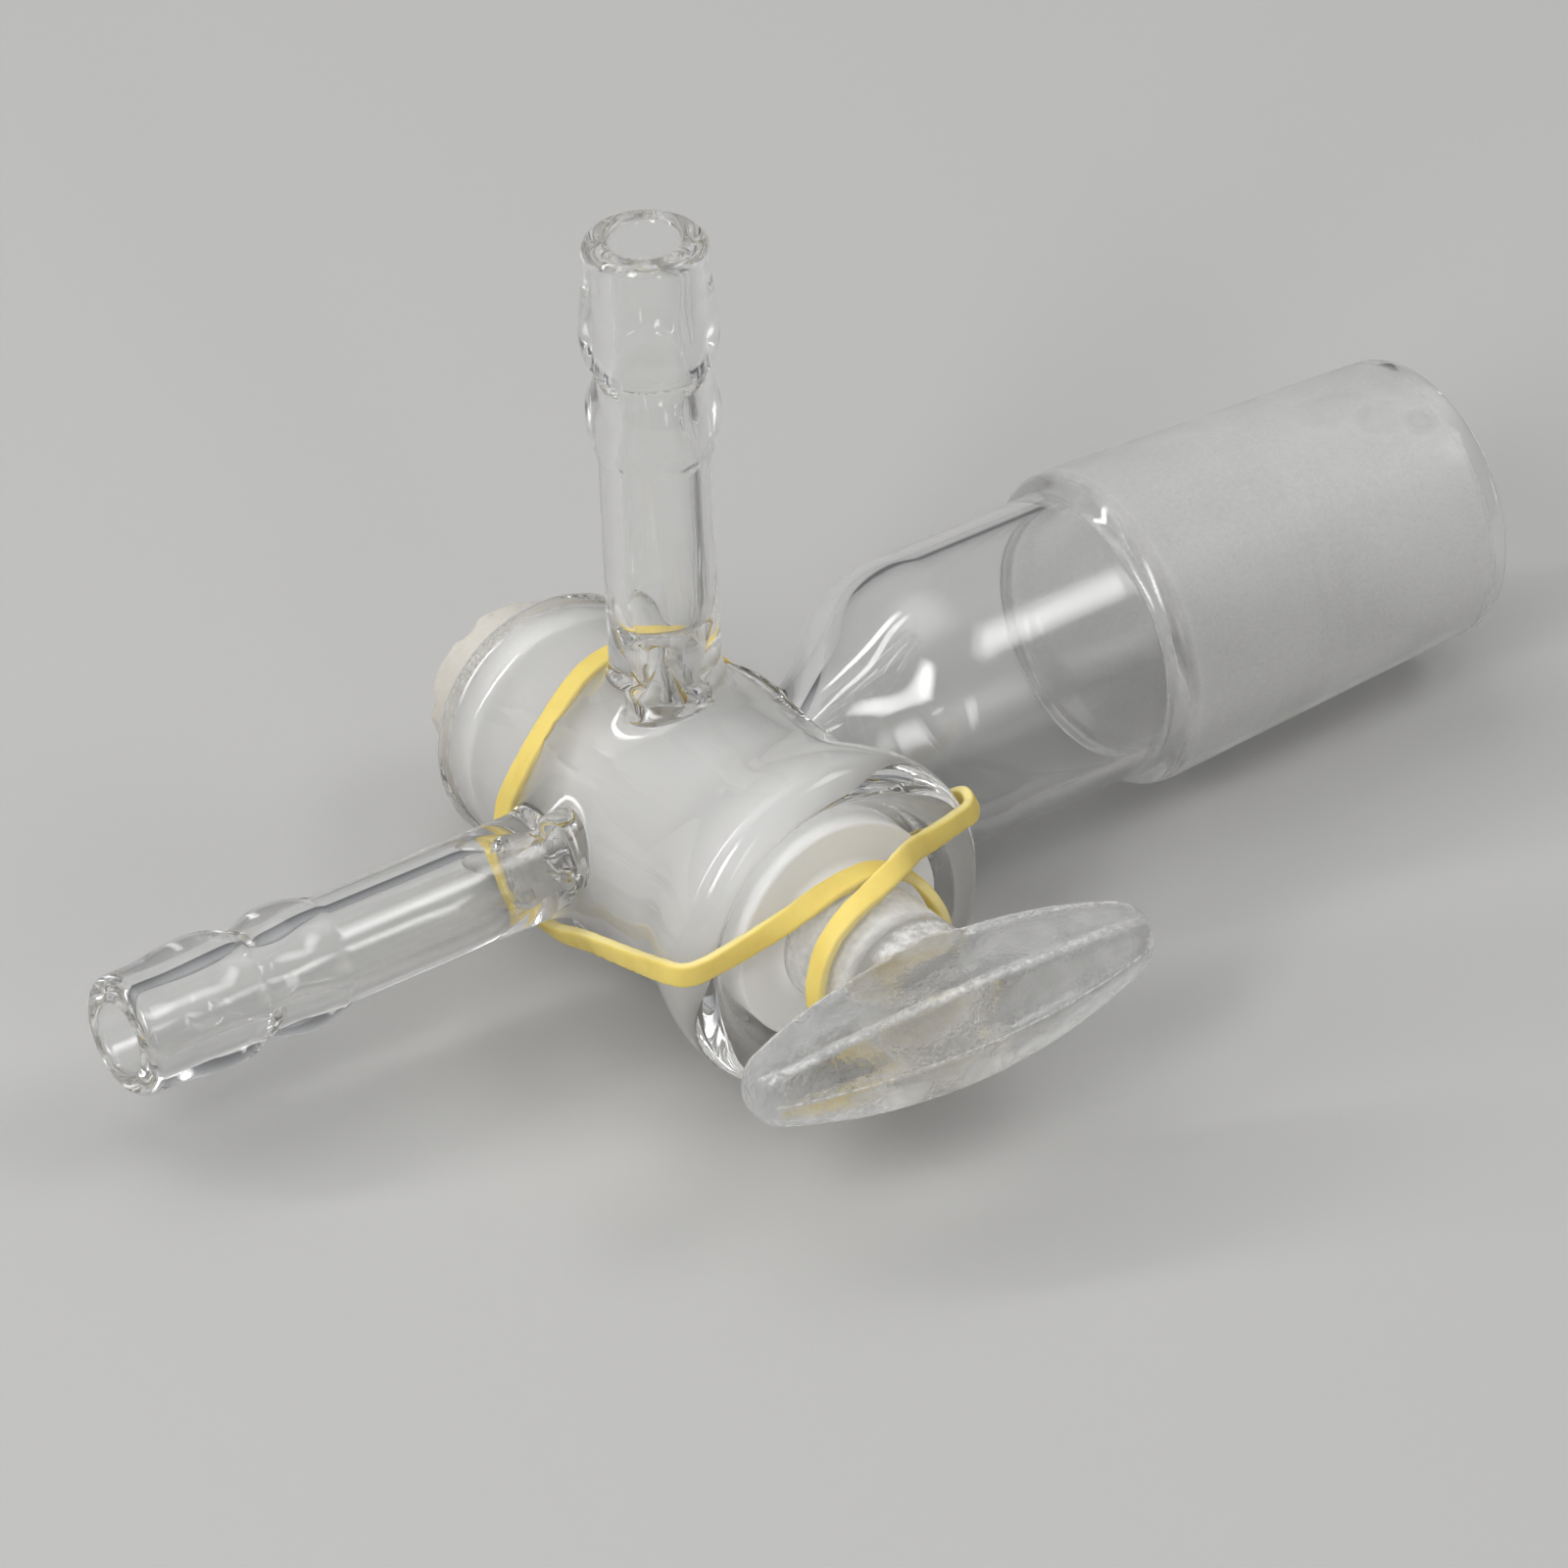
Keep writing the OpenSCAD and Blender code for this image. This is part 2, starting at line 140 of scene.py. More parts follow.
def share(name, description, default):
    return bpy.props.FloatProperty(
        name=name, description=description, default=default,
        min=0.0, max=1.0, subtype="FACTOR")


class BarrelSizes(bpy.types.PropertyGroup):
    """The tapered barrel that the plug turns in. Places are measured forward from the arms."""
    mid_d: length("Diameter", "Outer diameter where the arms join", 20)
    taper: share("Taper", "Outer diameter gained for each unit of length", 0.15)
    front: length("Front", "From the arms to the end of the front rim", 20.3)
    back: length("Back", "From the arms to the end of the back rim", 16.6)
    front_rim_d: length("Front rim", "Diameter of the flared rim", 25.5)
    front_bead_d: length("Front bead", "Thickness of the rounded front rim", 3.8)
    back_rim_d: length("Back rim", "Diameter of the back rim's bead", 19.4)
    back_bead_d: length("Back bead", "Thickness of the rounded back rim", 3.6)
    back_run: length("Back run", "Length over which the back bead runs out", 2.8)
    flare_len: length("Flare", "Length of the flare behind the front rim", 8.5)
    bore_mid_d: length("Bore", "Diameter of the ground bore at the arms", 14.9)
    bore_taper: share("Bore taper", "Bore diameter gained for each unit of length", 0.1)


class HoseSizes(bpy.types.PropertyGroup):
    """The two barbed hose connectors. Places on a connector are measured back from its tip."""
    tube_d: length("Tube", "Outer diameter of the tube", 8)
    tube_bore: length("Bore", "Inner diameter of the tube", 5)
    port_d: length("Port", "Diameter of the gas way through the barrel", 4)
    reach: length("Reach", "From the key's axis to the tip", 47)
    tip_d: length("Tip", "Diameter of the rounded tip", 9)
    first_barb_d: length("First barb", "Diameter of the barb next to the tip", 9.9)
    second_barb_d: length("Second barb", "Diameter of the second barb", 9.6)
    groove_d: length("Groove", "Diameter between the barbs", 8.1)
    first_crest: length("First crest", "Place of the first barb's crest", 7.4)
    groove_at: length("Groove place", "Place of the groove", 10.2)
    second_crest: length("Second crest", "Place of the second barb's crest", 13.9)
    barbs_len: length("Barbs", "Place where the barbs end", 17)
    root_fillet: length("Root", "Radius of the drawn glass at the barrel", 6)
    waist_bore: length("Waist", "Bore where a connector is drawn in over the barrel", 3)
    waist_at: length("Waist place", "From the barrel's side to that narrow place", 1.2)
    funnel_len: length("Funnel", "Length over which the bore widens to the tube", 6.4)


class ConeSizes(bpy.types.PropertyGroup):
    """The neck and the ground cone. Places are measured out from the key's axis."""
    joint_d: length("Large end", "Diameter of the ground zone at its large end", 24)
    joint_len: length("Ground zone", "Length of the ground zone", 29)
    taper: share("Taper", "Diameter lost for each unit of length", 0.1)
    joint_start: length("Start", "Place of the ground zone's large end", 37.8)
    bore: length("Bore", "Inner diameter of the cone", 17.4)
    lip_len: length("Lip", "How far the lip stands past the ground zone", 0.8)
    neck_d: length("Neck", "Outer diameter of the neck", 21.5)
    neck_wall: length("Neck wall", "Thickness of the neck's wall", 1.3)
    neck_full: length("Neck start", "Place where the neck is at full width", 22.6)
    swell_len: length("Swelling", "Length of the swelling before the ground zone", 1.7)
    ledge_len: length("Ledge", "Length of the ledge inside the swelling", 2.5)
    shoulder_d: length("Shoulder", "Diameter where the shoulder leaves the barrel", 7.2)


class PlugSizes(bpy.types.PropertyGroup):
    """The ground key, its stem and the pressed handle. Places are measured forward."""
    mid_d: length("Key", "Diameter of the key at the arms", 14.8)
    taper: share("Taper", "Diameter gained for each unit of length", 0.1)
    front: length("Front", "From the arms to the key's front face", 20.2)
    back: length("Back", "From the arms to the key's small end", 21.2)
    port_d: length("Port", "Diameter of the T-shaped gas way", 4)
    stem_d: length("Stem", "Diameter of the clear stem", 10)
    stem_fillet: length("Stem root", "Radius where the stem leaves the key", 0.8)
    handle_centre: length("Handle place", "From the arms to the handle's middle", 33.3)
    handle_len: length("Handle length", "From tip to tip", 34.3)
    handle_depth: length("Handle depth", "Along the key's axis, at the seam", 9.8)
    handle_height: length("Handle height", "Between the two flats", 8.5)
    flat_depth: length("Flats", "Depth of the two flats", 6.6)
    tip_share: share("Tips", "Roundness of the tips", 0.55)
    edge_round: length("Edges", "Radius of the handle's pressed edges", 0.55)
    chip_depth: length("Chips", "Depth of the chips at the small end", 0.5)


class BandSizes(bpy.types.PropertyGroup):
    """The elastic band."""
    width: length("Width", "Width of the band", 1.7)
    thickness: length("Thickness", "Thickness of the band", 0.8)
    slack: length("Slack", "Gap between the band and the stem", 0.6)


class Finishes(bpy.types.PropertyGroup):
    """Colours of the glass, the band and the floor."""
    clear: colour("Clear glass", "Tint of the clear glass", (0.988, 0.989, 0.984))
    ground: colour("Ground cone", "Colour of the ground glass of the cone", (0.99, 0.985, 0.97))
    key: colour("Ground key", "Colour of the ground key and its bore", (0.998, 0.994, 0.984))
    # The key's end is the same frost as the key; its darker, warmer tint is painted shade where the
    # end stands out in the lamps' direct light
    key_end_shade: colour("Key end", "Colour of the key's end behind the barrel", (0.74, 0.705, 0.64))
    elastic: colour("Elastic", "Colour of the band", (0.75, 0.59, 0.15))
    elastic_worn: colour("Elastic, worn", "Colour of the band's worn parts", (0.64, 0.45, 0.08))
    # Paler tint of the band's thin edges: painted light showing through them
    elastic_lit_edge: colour("Elastic, edge", "Colour of the band's thin edges", (0.82, 0.71, 0.34))
    floor: colour("Floor", "Colour of the floor", (0.44, 0.435, 0.425))


class StopcockSettings(bpy.types.PropertyGroup):
    barrel: bpy.props.PointerProperty(type=BarrelSizes)
    hose: bpy.props.PointerProperty(type=HoseSizes)
    cone: bpy.props.PointerProperty(type=ConeSizes)
    plug: bpy.props.PointerProperty(type=PlugSizes)
    band: bpy.props.PointerProperty(type=BandSizes)
    finish: bpy.props.PointerProperty(type=Finishes)


# ---- fields of shape
# A shape is a field: a function of position that is below zero in the glass
# and close to the distance from its surface elsewhere.

def run(a, b, rise):
    """Points from a to b, (place, radius) each. Of a share of the way, rise gives the radius's."""
    t = np.linspace(0, 1, RUN_STEPS + 1)
    return np.stack([a[0] + (b[0] - a[0]) * t, a[1] + (b[1] - a[1]) * rise(t)], axis=1)


def swelling(a, b):
    """A run as a quarter of a sine wave to a power, level at b."""
    return run(a, b, lambda t: np.sin(t * math.pi / 2)**0.6)


def ease(a, b):
    """A run as half a cosine wave, level at both ends."""
    return run(a, b, lambda t: (1 - np.cos(t * math.pi)) / 2)


def bend(points):
    """Points on the cubic curve with four control points, (place, radius) each."""
    t = np.linspace(0, 1, BEND_STEPS + 1)[:, None]
    a, b, c, d = np.array(points, float)
    return (1 - t)**3 * a + 3 * (1 - t)**2 * t * b + 3 * (1 - t) * t**2 * c + t**3 * d


def turned(*runs):
    """Field of a solid of revolution, from runs of (place, radius) points.

    The field is the radius less the profile's radius at that place, divided by
    the length of the profile's slope vector, so that it is close to a distance.
    """
    points = np.concatenate([np.atleast_2d(np.asarray(run, float)) for run in runs])
    keep = np.concatenate([[True], np.diff(points[:, 0]) > 1e-9])
    place, radius = points[keep].T
    slope = np.gradient(radius, place)

    def field(rho, along):
        r = np.interp(along, place, radius)
        return (rho - r) / np.sqrt(1 + np.interp(along, place, slope)**2)
    return field


def meet(a, b, r):
    """Field of what two shapes share, its edge rounded to a radius r."""
    u, v = np.maximum(a + r, 0), np.maximum(b + r, 0)
    return np.minimum(np.maximum(a, b), -r) + np.hypot(u, v)


def fuse(a, b, r):
    """Field of two shapes together, the corner between them filled to a radius r."""
    return -meet(-a, -b, r)


def cut(a, b, r):
    """Field of shape a less shape b, the edge rounded to a radius r."""
    return meet(a, -b, r)


def swell(x, y, z, depth, scale, seed):
    """Slow waves of a surface: the mean of three sines of place, times a depth."""
    a = np.sin(x / scale + 1.7 * np.sin(z / scale * 0.7 + seed) + seed)
    b = np.sin(y / scale * 1.3 + 1.1 * np.sin(x / scale * 0.9 + 2 * seed) + 2 * seed)
    c = np.sin(z / scale * 1.1 + 1.4 * np.sin(y / scale * 0.8 + 3 * seed) + 3 * seed)
    return depth * ((a + b + c) / 3)


def barrel_fields(p):
    """Fields of the barrel's outside and of its ground bore, of radius and place on its axis."""
    front_bead, back_bead = p.front_bead_d / 2, p.back_bead_d / 2
    flare_start = p.front - front_bead - p.flare_len
    waist = -p.back + back_bead + p.back_run

    def wall(s):
        return (p.mid_d + s * p.taper) / 2

    def bore(s):
        return (p.bore_mid_d + s * p.bore_taper) / 2

    rim_r, start, end = p.front_rim_d / 2, -p.back - 5 * MM, p.front + 5 * MM
    side = turned(
        [(start, p.back_rim_d / 2)],
        ease((-p.back + back_bead, p.back_rim_d / 2), (waist, wall(waist))),
        ease((flare_start, wall(flare_start)), (p.front - front_bead, rim_r)),
        [(end, rim_r)])
    ground_end = p.front - p.front_bead_d
    hole = turned(
        [(start, bore(start)), (ground_end, bore(ground_end))],
        ease((ground_end + 0.6 * MM, bore(ground_end + 0.6 * MM)),
             (p.front - front_bead + 0.4 * MM, rim_r - p.front_bead_d + 0.3 * MM)),
        [(p.front + 0.8 * MM, rim_r - front_bead)])

    def outside(rho, s):
        solid = meet(side(rho, s), s - p.front, front_bead)
        return meet(solid, -s - p.back, back_bead)
    return outside, hole


def hose_fields(p, barrel_r):
    """Fields of a hose connector's outside and of its gas way, of radius and place on its axis."""
    tip_wall = (p.tip_d - p.tube_bore) / 2
    root_end = barrel_r + p.root_fillet / 2
    tube_r = p.tube_d / 2
    place = np.linspace(root_end - p.root_fillet * 0.98, root_end, BEND_STEPS)
    root = tube_r + p.root_fillet - np.sqrt(p.root_fillet**2 - (root_end - place)**2)
    second = p.reach - p.second_crest, p.second_barb_d / 2
    groove = p.reach - p.groove_at, p.groove_d / 2
    first = p.reach - p.first_crest, p.first_barb_d / 2
    side = turned(
        np.stack([place, root], axis=1),
        swelling((p.reach - p.barbs_len, tube_r), second), ease(second, groove),
        swelling(groove, first), ease(first, (p.reach - tip_wall, p.tip_d / 2)),
        [(p.reach + 2 * MM, p.tip_d / 2)])
    port_r, bore_r, waist = p.port_d / 2, p.tube_bore / 2, barrel_r + p.waist_at
    way = turned(
        [(0, port_r)],
        ease((barrel_r - 0.5 * MM, port_r), (waist, p.waist_bore / 2)),
        ease((waist, p.waist_bore / 2), (waist + p.funnel_len, bore_r)),
        [(p.reach + 2 * MM, bore_r)])

    def outside(rho, s):
        return np.maximum(meet(side(rho, s), s - p.reach, tip_wall / 2), -s)

    def inside(rho, s, turn):
        """The way, folded a little where the glass of the connector was sealed on."""
        seal = np.exp(-((s - waist) / (1.3 * MM))**2)
        folds = np.sin(turn + s / (1.6 * MM)) + 0.5 * np.sin(2 * turn - s / (1.3 * MM))
        return np.maximum(way(rho + 0.03 * MM * seal * folds, s), -s)
    return outside, inside


def cone_fields(p, barrel_r, port_r):
    """Fields of the neck and cone's outside and of their hollow."""
    neck_r, inner_r = p.neck_d / 2, p.neck_d / 2 - p.neck_wall
    joint_end = p.joint_start + p.joint_len
    tip = joint_end + p.lip_len
    ledge = p.joint_start - p.swell_len

    def joint(s):
        return (p.joint_d - (s - p.joint_start) * p.taper) / 2

    lip = joint(joint_end) - p.bore / 2
    start, ground_start, end = barrel_r - 1.6 * MM, p.joint_start + 0.4 * MM, joint_end + 4 * MM
    side = turned(
        bend([(start, p.shoulder_d / 2), (p.neck_full - 5.6 * MM, neck_r - 4.7 * MM),
              (p.neck_full - 6.2 * MM, neck_r), (p.neck_full, neck_r)]),
        bend([(ledge - 0.5 * MM, neck_r), (ledge + 0.4 * MM, neck_r),
              (ledge + 0.2 * MM, joint(p.joint_start)), (ground_start, joint(ground_start))]),
        [(end, joint(end))])
    hollow = turned(
        [(0, port_r)],
        bend([(barrel_r + 1.4 * MM, port_r), (p.neck_full - 5.2 * MM, inner_r - 4.8 * MM),
              (p.neck_full - 5.4 * MM, inner_r), (p.neck_full + 1 * MM, inner_r)]),
        ease((ledge, inner_r), (ledge + p.ledge_len, p.bore / 2)),
        [(tip + 3 * MM, p.bore / 2)])

    def outside(rho, s):
        solid = meet(side(rho, s), s - tip, lip)
        return np.maximum(solid, start - s)

    def inside(rho, s):
        return np.maximum(hollow(rho, s), -s)
    return outside, inside


def body_field(settings):
    """Field of the whole fused body, of x, y and z from the crossing of the axes."""
    barrel_r = settings.barrel.mid_d / 2
    barrel, bore = barrel_fields(settings.barrel)
    hose, hose_way = hose_fields(settings.hose, barrel_r)
    cone, cone_way = cone_fields(settings.cone, barrel_r, settings.hose.port_d / 2)
    ground_start = settings.cone.joint_start

    def field(x, y, z):
        about_key, about_up, about_level = np.hypot(x, z), np.hypot(x, y), np.hypot(y, z)
        wave = (swell(x, y, z, *DRAWN_WAVE)
                * np.clip((ground_start - 3 * MM - x) / (4 * MM), 0, 1))
        solid = fuse(barrel(about_key, -y), hose(about_up, z), SEAL_R)
        solid = fuse(solid, hose(about_level, -x), SEAL_R)
        solid = fuse(solid, cone(about_level, x), SEAL_R) + wave
        ways = np.minimum(hose_way(about_up, z, np.arctan2(y, x)),
                          hose_way(about_level, -x, np.arctan2(z, y)))
        ways = np.minimum(ways, cone_way(about_level, x)) + 0.5 * wave
        solid = cut(solid, ways, HOLLOW_EDGE)
        return cut(solid, bore(about_key, -y), BORE_EDGE)
    return field


def plan_arcs(p, half, unit=1.0):
    """A handle face's plan of half width half: its tips' radius and place, and its arcs' radius."""
    tip_r = p.tip_share * half
    tip_at = p.handle_len * unit / 2 - tip_r
    return tip_r, tip_at, (tip_at**2 + half**2 - tip_r**2) / (2 * (half - tip_r))


def handle_field(p):
    """Field of the handle: two flats and four slanted faces, bent to arcs and round tips."""
    rise, run = p.handle_height / 2, (p.handle_depth - p.flat_depth) / 2
    turn = math.atan2(run, rise)
    slant_half = p.handle_depth / 2 * math.cos(turn)

    def spindle(x, h, half):
        """Distance from a plan of two arcs and round tips, x along the handle and h across it."""
        tip_r, tip_at, arc_r = plan_arcs(p, half)
        arc_centre = arc_r - half
        x, h = np.abs(x), np.abs(h)
        past = (h + arc_centre) * tip_at < x * arc_centre
        side = np.hypot(x, h + arc_centre) - arc_r
        tip = np.hypot(x - tip_at, h) - tip_r
        return np.where(past, tip, side)

    def field(x, y, z):
        d = y + p.handle_centre
        flats = spindle(x, z, p.handle_height / 2)
        up = spindle(x, d * math.cos(turn) + z * math.sin(turn), slant_half)
        down = spindle(x, d * math.cos(turn) - z * math.sin(turn), slant_half)
        return meet(meet(up, down, p.edge_round * 0.6), flats, p.edge_round)
    return field


def plug_field(settings):
    """Field of the plug: tapered key, stem and handle, less the T-shaped gas way and the chips."""
    p = settings.plug
    stem_end = p.handle_centre - p.handle_depth / 2 + 0.5 * MM
    handle = handle_field(p)
    small_r = (p.mid_d - p.back * p.taper) / 2

    def field(x, y, z):
        s = -y
        rho = np.hypot(x, z)
        key = (rho - (p.mid_d + s * p.taper) / 2) / math.hypot(1, p.taper / 2)
        key = meet(key, s - p.front, KEY_EDGE)
        key = meet(key, -s - p.back, KEY_EDGE)
        ragged = np.clip((y - p.back + 1.6 * MM) / (0.9 * MM), 0, 1)
        ragged = ragged * np.clip((rho - 3 * MM) / (3 * MM), 0.25, 1)
        key = key + RAGGED * ragged * (swell(x, y, z, *RAGGED_WAVE) + 0.3)
        stem = rho - p.stem_d / 2 + swell(x, y, z, *STEM_WAVE)
        stem = np.maximum(stem, p.front - 1 * MM - s)
        past = np.maximum(s - stem_end, 0)
        stem = np.where(past > 0, np.hypot(rho, past) - p.stem_d / 2, stem)
        solid = fuse(key, stem, p.stem_fillet)
        grip = handle(x, y, z) + swell(x, y, z, *HANDLE_WAVE)
        solid = fuse(solid, grip, HANDLE_SEAL_R)
        for angle, part in CHIPS:
            away = CHIP_R - p.chip_depth * part
            out = small_r + away * math.cos(CHIP_LEAN)
            cx, cz = out * math.cos(math.radians(angle)), -out * math.sin(math.radians(angle))
            cy = p.back + away * math.sin(CHIP_LEAN)
            bite = np.sqrt((x - cx)**2 + (y - cy)**2 + (z - cz)**2) - CHIP_R
            solid = cut(solid, bite, 0.08 * MM)
        straight = np.hypot(y, z) - p.port_d / 2
        branch = np.maximum(np.hypot(x, y) - p.port_d / 2, -z)
        return cut(solid, fuse(straight, branch, 0.3 * MM), WAY_EDGE)
    return field


# ---- surfaces of fields

def grid_lines(low, high, steps):
    """Places of the grid's lines along an axis, from a little before low to a little past high."""
    places, at = [], low - 1.5 * steps[0][1] * MM
    for end, step in steps:
        stop = min(end * MM, high + 2 * step * MM)
        if stop > at:
            count = math.ceil((stop - at) / (step * MM))
            places.append(np.linspace(at, stop, count, endpoint=False))
            at = stop
    return np.append(np.concatenate(places), at)


def sample(field, lines, thick=24):
    """The field's values on a grid, worked out in thick slices to save memory."""
    x, y, z = lines
    values = np.empty((len(x), len(y), len(z)), np.float32)
    for start in range(0, len(x), thick):
        part = x[start:start + thick]
        values[start:start + thick] = field(*np.meshgrid(part, y, z, indexing="ij"))
    return values


def skin(field, lines):
    """Closed quad mesh of a field's zero surface.

    Each grid cell that the surface passes through gets one vertex, at the mean
    of the points where the surface crosses the cell's edges, and each crossed
    grid edge gets one quad between the four cells around it.
    """
    values = sample(field, lines)
    shape = tuple(n - 1 for n in values.shape)
    total = np.zeros(shape + (3,), np.float32)
    hits = np.zeros(shape, np.int32)
    crossings = []
    for axis in range(3):
        a, b = (axis + 1) % 3, (axis + 2) % 3
        f0, f1 = np.delete(values, -1, axis), np.delete(values, 0, axis)
        crossed = (f0 < 0) != (f1 < 0)
        share_along = np.where(crossed, f0 / np.where(crossed, f0 - f1, 1), 0)
        crossings.append((axis, np.argwhere(crossed), f0[crossed] < 0))
        for corner in np.ndindex(2, 2):
            shift = np.zeros(3, int)
            shift[[a, b]] = corner
            window = tuple(slice(shift[i], shift[i] + shape[i]) for i in range(3))
            mask = crossed[window]
            hits += mask
            total[..., axis] += share_along[window] * mask
            total[..., a] += mask * shift[a]
            total[..., b] += mask * shift[b]
    cells = np.argwhere(hits > 0)
    number = np.full(shape, -1, np.int64)
    number[tuple(cells.T)] = np.arange(len(cells))
    offset = total[tuple(cells.T)] / hits[tuple(cells.T)][:, None]
    points = np.stack([np.interp(cells[:, i] + offset[:, i], np.arange(len(lines[i])), lines[i])
                       for i in range(3)], axis=1)
    quads = []
    for axis, edges, starts_inside in crossings:
        a, b = np.eye(3, dtype=int)[(axis + 1) % 3], np.eye(3, dtype=int)[(axis + 2) % 3]
        ring = [edges - a - b, edges - b, edges, edges - a]
        quad = np.stack([number[tuple(corner.T)] for corner in ring], axis=1)
        quads.append(np.where(starts_inside[:, None], quad, quad[:, ::-1]))
    return points, np.concatenate(quads)


def slope_of(field, points, step=1e-5):
    """The field's gradient at points, from differences over a small step each way."""
    slope = np.empty_like(points)
    for axis in range(3):
        shift = np.zeros(3)
        shift[axis] = step
        slope[:, axis] = (field(*(points + shift).T) - field(*(points - shift).T)) / (2 * step)
    return slope


def unit(vectors):
    return vectors / np.linalg.norm(vectors, axis=1)[:, None]


def seat(field, points, rounds=3, reach=0.5 * MM, least=0.05):
    """Moves points along the field's gradient onto its surface, by Newton's method.

    A move is at most about reach long, and the slope's square counts as least or more.
    """
    for _ in range(rounds):
        slope = slope_of(field, points)
        move = field(*points.T) / np.maximum((slope**2).sum(1), least)
        points = points - np.clip(move, -reach, reach)[:, None] * slope
    return points


def relax(points, quads):
    """Moves each point half way to the mean of its neighbours along its faces' edges."""
    total, hits = np.zeros_like(points), np.zeros(len(points))
    for i in range(4):
        a, b = quads[:, i], quads[:, (i + 1) % 4]
        for axis in range(3):
            total[:, axis] += np.bincount(a, points[b, axis], len(points))
            total[:, axis] += np.bincount(b, points[a, axis], len(points))
        hits += np.bincount(a, minlength=len(points)) + np.bincount(b, minlength=len(points))
    return (points + total / hits[:, None]) / 2


def glass_piece(name, field, node, steps):
    """A mesh object of a field's surface with its exact normals, on a grid round a node's box."""
    low, high = (np.array(corner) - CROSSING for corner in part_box(node))
    points, quads = skin(field, [grid_lines(*axis) for axis in zip(low, high, steps)])
    points = seat(field, points)
    for _ in range(2):
        points = seat(field, relax(points, quads), 2)
    return make_mesh(name, points + CROSSING, quads, unit(slope_of(field, points)))


def make_mesh(name, points, quads, normals=None):
    """A mesh object from whole arrays of points and quads."""
    mesh = bpy.data.meshes.new(name)
    mesh.vertices.add(len(points))
    mesh.vertices.foreach_set("co", np.asarray(points, np.float32).ravel())
    mesh.loops.add(quads.size)
    mesh.loops.foreach_set("vertex_index", quads.astype(np.int32).ravel())
    mesh.polygons.add(len(quads))
    mesh.polygons.foreach_set("loop_start", np.arange(0, quads.size, 4, dtype=np.int32))
    mesh.polygons.foreach_set("use_smooth", np.ones(len(quads), bool))
    mesh.update(calc_edges=True)
    mesh.validate()
    if normals is not None:
        mesh.normals_split_custom_set_from_vertices(normals.astype(np.float32))
    piece = bpy.data.objects.new(name, mesh)
    bpy.context.scene.collection.objects.link(piece)
    return piece


# ---- materials

def arithmetic(operation, place=0):
    """A method that adds a Math node, with the socket itself in the first or second place."""
    def method(socket, *other):
        values = dict(enumerate((socket, *other) if place == 0 else (*other, socket)))
        return socket.shader.node("ShaderNodeMath", {"operation": operation}, values)
    return method


class Socket:
    """A node's output, with arithmetic that adds Math nodes."""
    __add__, __radd__ = arithmetic("ADD"), arithmetic("ADD", 1)
    __sub__, __rsub__ = arithmetic("SUBTRACT"), arithmetic("SUBTRACT", 1)
    __mul__, __rmul__ = arithmetic("MULTIPLY"), arithmetic("MULTIPLY", 1)
    __truediv__, most = arithmetic("DIVIDE"), arithmetic("MAXIMUM")
    sqrt, size = arithmetic("SQRT"), arithmetic("ABSOLUTE")

    def __init__(self, shader, output):
        self.shader, self.output = shader, output

    def clamp(self):
        return self.shader.node("ShaderNodeClamp", {}, {"Value": self})


class Shader:
    """Builds the nodes of one material, lamp or world."""

    def __init__(self, holder):
        holder.use_nodes = True
        self.holder, self.tree = holder, holder.node_tree
        self.tree.nodes.clear()

    def node(self, kind, settings, values, output=0):
        made = self.tree.nodes.new(kind)
        for key, value in settings.items():
            setattr(made, key, value)
        for key, value in values.items():
            if isinstance(value, Socket):
                self.tree.links.new(value.output, made.inputs[key])
            else:
                made.inputs[key].default_value = value
        return None if output is None else Socket(self, made.outputs[output])

    def place(self):
        """Object coordinates, measured from the crossing of the axes, in millimetres."""
        here = self.node("ShaderNodeTexCoord", {}, {}, "Object")
        scaled = self.vector("SCALE", {0: self.vector("SUBTRACT", {0: here, 1: tuple(CROSSING)}),
                                       "Scale": 1 / MM})
        return scaled, *self.parts(scaled)

    def vector(self, operation, values, output=0):
        return self.node("ShaderNodeVectorMath", {"operation": operation}, values, output)

    def parts(self, vector):
        """The three numbers of a vector."""
        split = self.node("ShaderNodeSeparateXYZ", {}, {0: vector}).output.node
        return [Socket(self, split.outputs[i]) for i in range(3)]

    def noise(self, vector, scale, detail=3.0, roughness=0.5, distortion=0.0):
        return self.node("ShaderNodeTexNoise", {},
                         {"Vector": vector, "Scale": scale, "Detail": detail,
                          "Roughness": roughness, "Distortion": distortion})

    def mix(self, factor, a, b):
        return self.node("ShaderNodeMix", {"data_type": "RGBA"},
                         {0: factor, 6: a, 7: b}, 2)

    def principled(self, values):
        return self.node("ShaderNodeBsdfPrincipled", {}, values)

    def blend(self, mask, a, b):
        """Surface a where the mask is 0 and surface b where it is 1."""
        return self.node("ShaderNodeMixShader", {}, {0: mask, 1: a, 2: b})

    def bump(self, height, strength, distance):
        return self.node("ShaderNodeBump", {},
                         {"Height": height, "Strength": strength, "Distance": distance})

    def finish(self, surface, end="ShaderNodeOutputMaterial"):
        self.node(end, {}, {"Surface": surface}, None)
        return self.holder


def new_shader(name):
    """A shader for a new material."""
    return Shader(bpy.data.materials.new(name))


def rgba(colour_value):
    return tuple(colour_value) + (1.0,)


def step_up(value, edge, width):
    """0 below an edge, 1 above it, over a width."""
    return ((value - edge) / width + 0.5).clamp()


def near(shader, place, centre, radii):
    """1 at a point and 0 past an ellipsoid of three radii round it."""
    away = shader.vector("SUBTRACT", {0: place, 1: centre})
    away = shader.vector("DIVIDE", {0: away, 1: radii})
    return (1 - shader.vector("LENGTH", {0: away}, "Value")).clamp()


def clear_glass(shader, finish, **more):
    return shader.principled({
        "Base Color": rgba(finish.clear), "Roughness": 0.02, "IOR": GLASS_IOR,
        "Transmission Weight": 1.0, **more})


